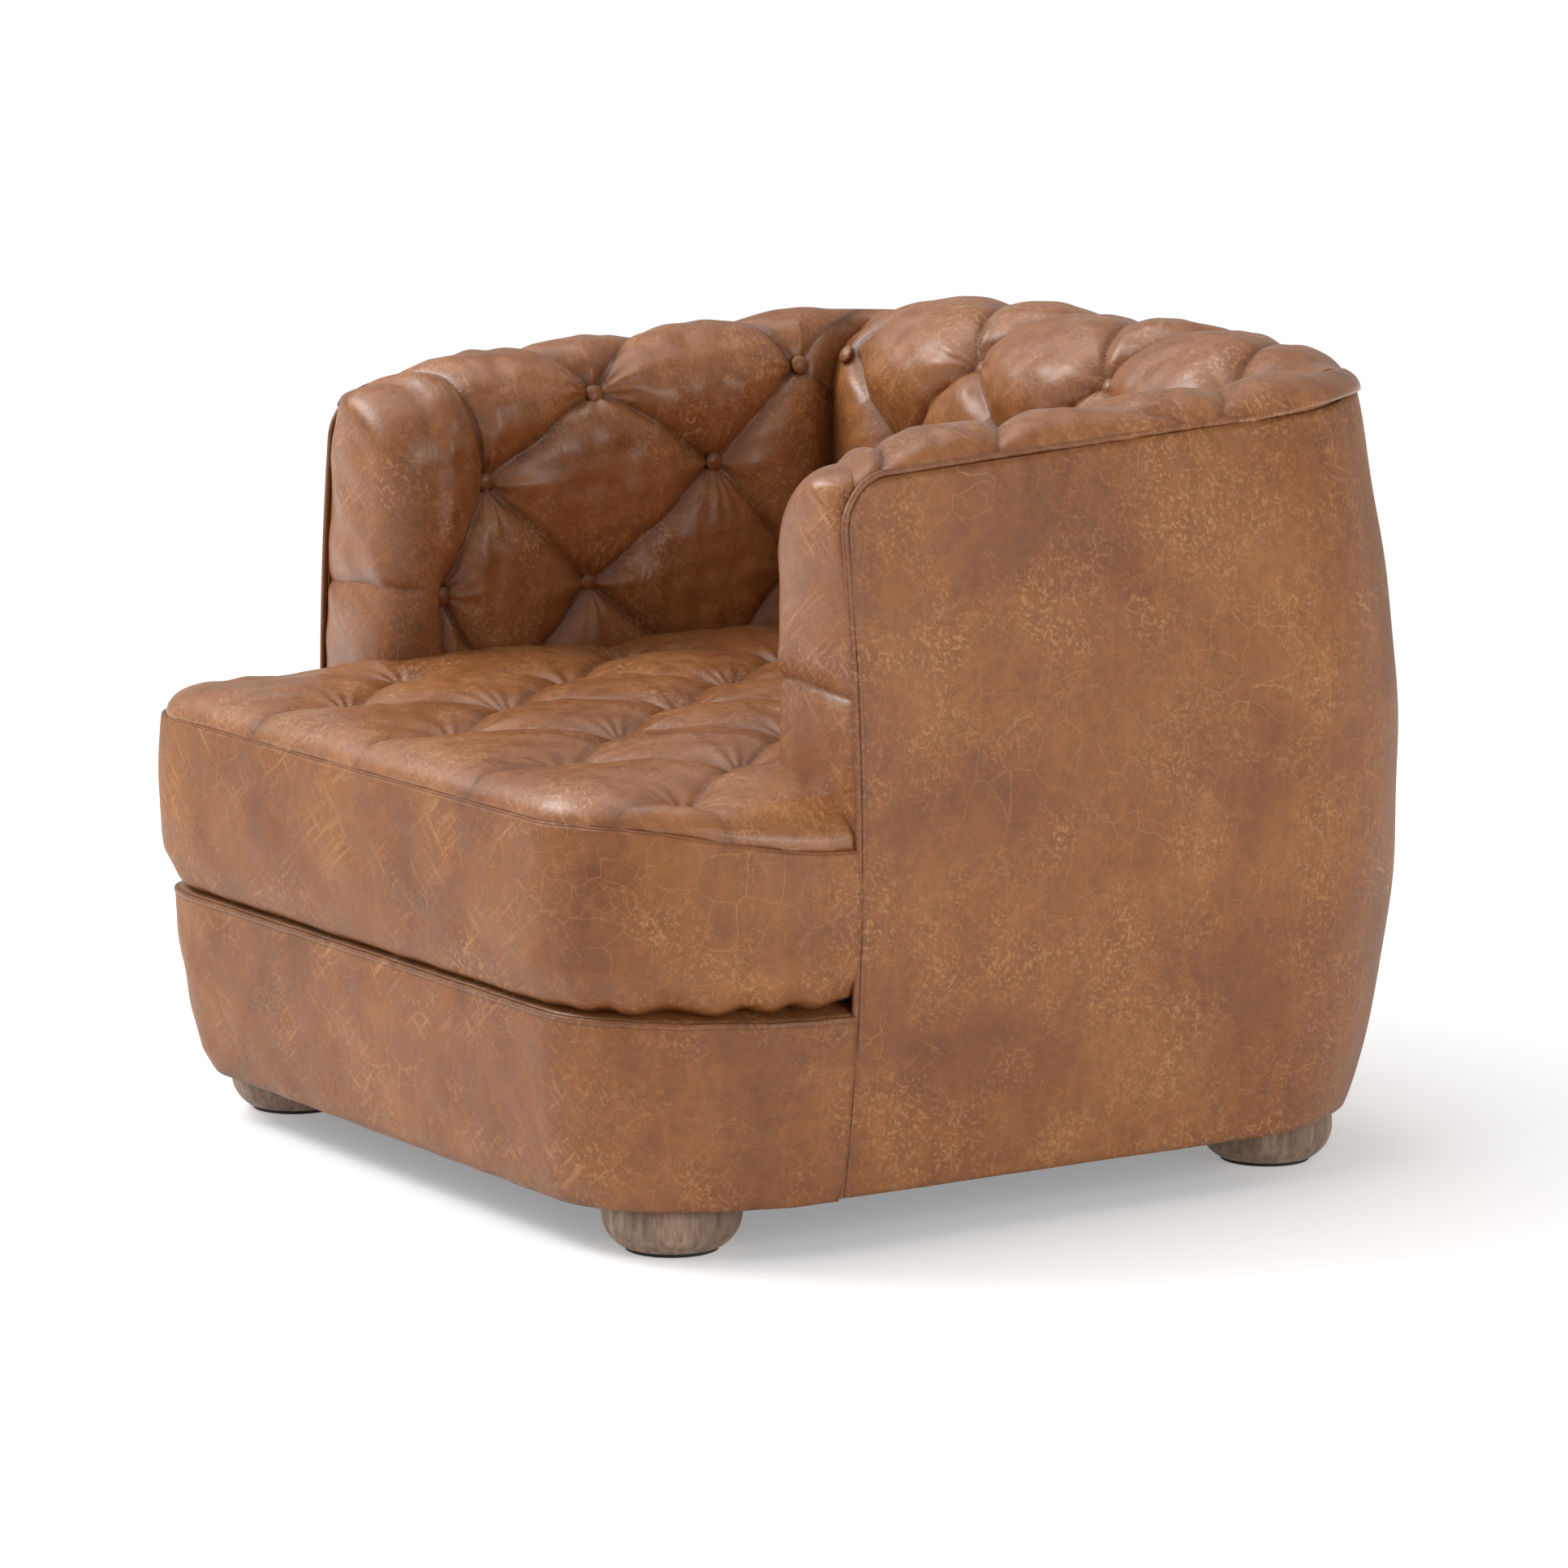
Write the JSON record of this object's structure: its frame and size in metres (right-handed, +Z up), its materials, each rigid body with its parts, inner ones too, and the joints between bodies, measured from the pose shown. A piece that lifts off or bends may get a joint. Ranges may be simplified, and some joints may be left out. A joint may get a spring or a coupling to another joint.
{
  "type": "upholstered armchair",
  "caption": "Low-back club armchair in tufted leather: roll-over buttoned arms and back, fixed T-shaped seat, curved outside panels, bun feet.",
  "frame": {"origin": "on the floor under the middle of the chair's outline", "axes": "+Z up, the sitter faces -Y, +X to the right when looking along +Y"},
  "size_m": [0.972, 0.979, 0.7701],
  "materials": {
    "spring_steel": "drawn spring wire, lightly oiled",
    "zinc_steel": "zinc plated",
    "foot_wood": "turned hardwood, weathered grey-brown oil finish",
    "glide": "dark felt-faced glide",
    "dust_cloth": "black non-woven cloth",
    "deck_cloth": "plain woven deck cloth",
    "foam": "polyurethane foam with wadding",
    "frame_wood": "kiln-dried hardwood, unfinished",
    "leather_trim": "brown leather, folded and double stitched",
    "leather_buttons": "leather covered buttons",
    "leather": "mid brown distressed pull-up leather, satin"
  },
  "bodies": {
    "root": {"back_buttons": "leather_buttons", "back_foam": "foam", "back_piping": "leather_trim", "back_tack_rail": "frame_wood", "back_top_board": "frame_wood", "corner_blocks": "frame_wood", "deck_cloth": "deck_cloth", "dust_cover": "dust_cloth", "foot_glides": "glide", "front_border_cover": "leather", "front_border_pad": "foam", "front_border_welt": "leather_trim", "front_left_foot": "foot_wood", "front_right_foot": "foot_wood", "front_seat_rail": "frame_wood", "hanger_bolts": "zinc_steel", "inside_back_cover": "leather", "left_arm_buttons": "leather_buttons", "left_arm_foam": "foam", "left_arm_front_panel": "leather", "left_arm_piping": "leather_trim", "left_arm_tack_rail": "frame_wood", "left_arm_top_board": "frame_wood", "left_corner_rail": "frame_wood", "left_front_corner_rail": "frame_wood", "left_front_post": "frame_wood", "left_inside_arm_cover": "leather", "left_outside_arm_panel": "leather", "left_rear_post": "frame_wood", "left_seat_rail": "frame_wood", "outside_back_panel": "leather", "rear_left_foot": "foot_wood", "rear_right_foot": "foot_wood", "rear_seat_rail": "frame_wood", "right_arm_buttons": "leather_buttons", "right_arm_foam": "foam", "right_arm_front_panel": "leather", "right_arm_piping": "leather_trim", "right_arm_tack_rail": "frame_wood", "right_arm_top_board": "frame_wood", "right_corner_rail": "frame_wood", "right_front_corner_rail": "frame_wood", "right_front_post": "frame_wood", "right_inside_arm_cover": "leather", "right_outside_arm_panel": "leather", "right_rear_post": "frame_wood", "right_seat_rail": "frame_wood", "seat_boxing_band": "leather", "seat_foam": "foam", "seat_springs": "spring_steel", "seat_top_cover": "leather", "spring_clips": "spring_steel", "tee_nuts": "zinc_steel"}
  },
  "joints": []
}
